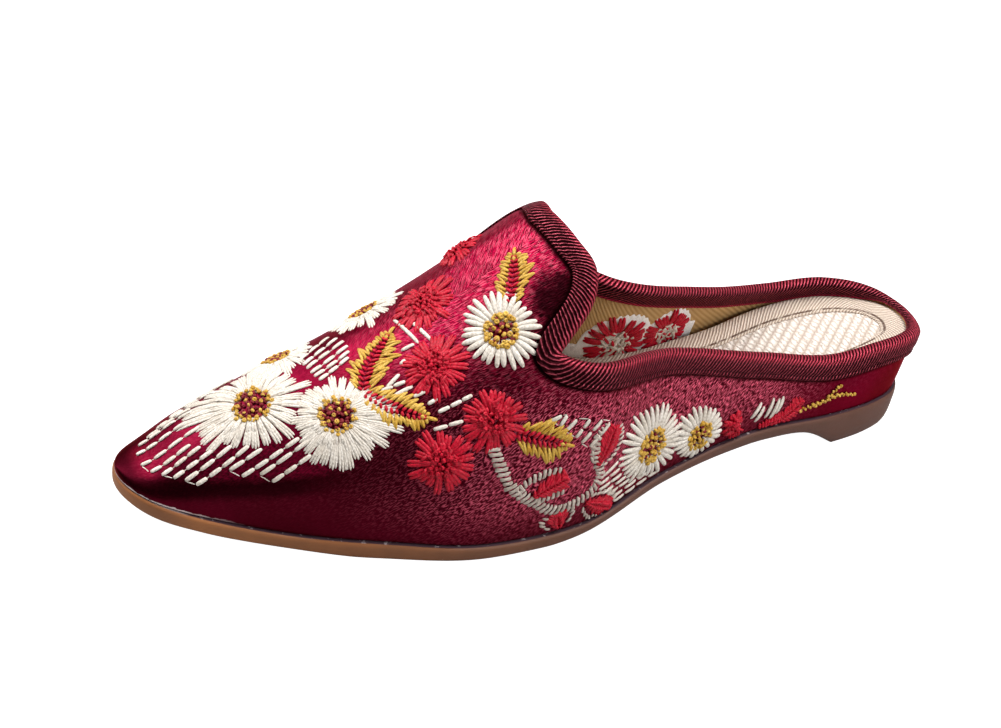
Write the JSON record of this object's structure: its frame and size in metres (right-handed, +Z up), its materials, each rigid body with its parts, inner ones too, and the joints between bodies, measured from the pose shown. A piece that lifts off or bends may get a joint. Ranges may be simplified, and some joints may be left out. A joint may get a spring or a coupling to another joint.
{
  "type": "backless loafer",
  "caption": "Backless pointed-toe loafer (mule): low flat sole, hollow cloth upper with a high rounded tongue, low wall round the heel, bound edges and a padded footbed.",
  "frame": {"origin": "on the floor, under the middle of the shoe's bounding box", "axes": "+Y towards the heel (the toe points to -Y), +X to the outer side of the left foot, +Z up"},
  "size_m": [0.082, 0.2467, 0.0749],
  "materials": {
    "sole_rubber": "satin",
    "footbed_weave": "matte",
    "footbed_tape": "matte",
    "crimson_satin": "satin",
    "twill_tape": "satin"
  },
  "bodies": {
    "root": {"outsole": "sole_rubber", "insole": "footbed_weave", "insole_tape": "footbed_tape", "upper": "crimson_satin", "collar_binding": "twill_tape"}
  },
  "joints": []
}
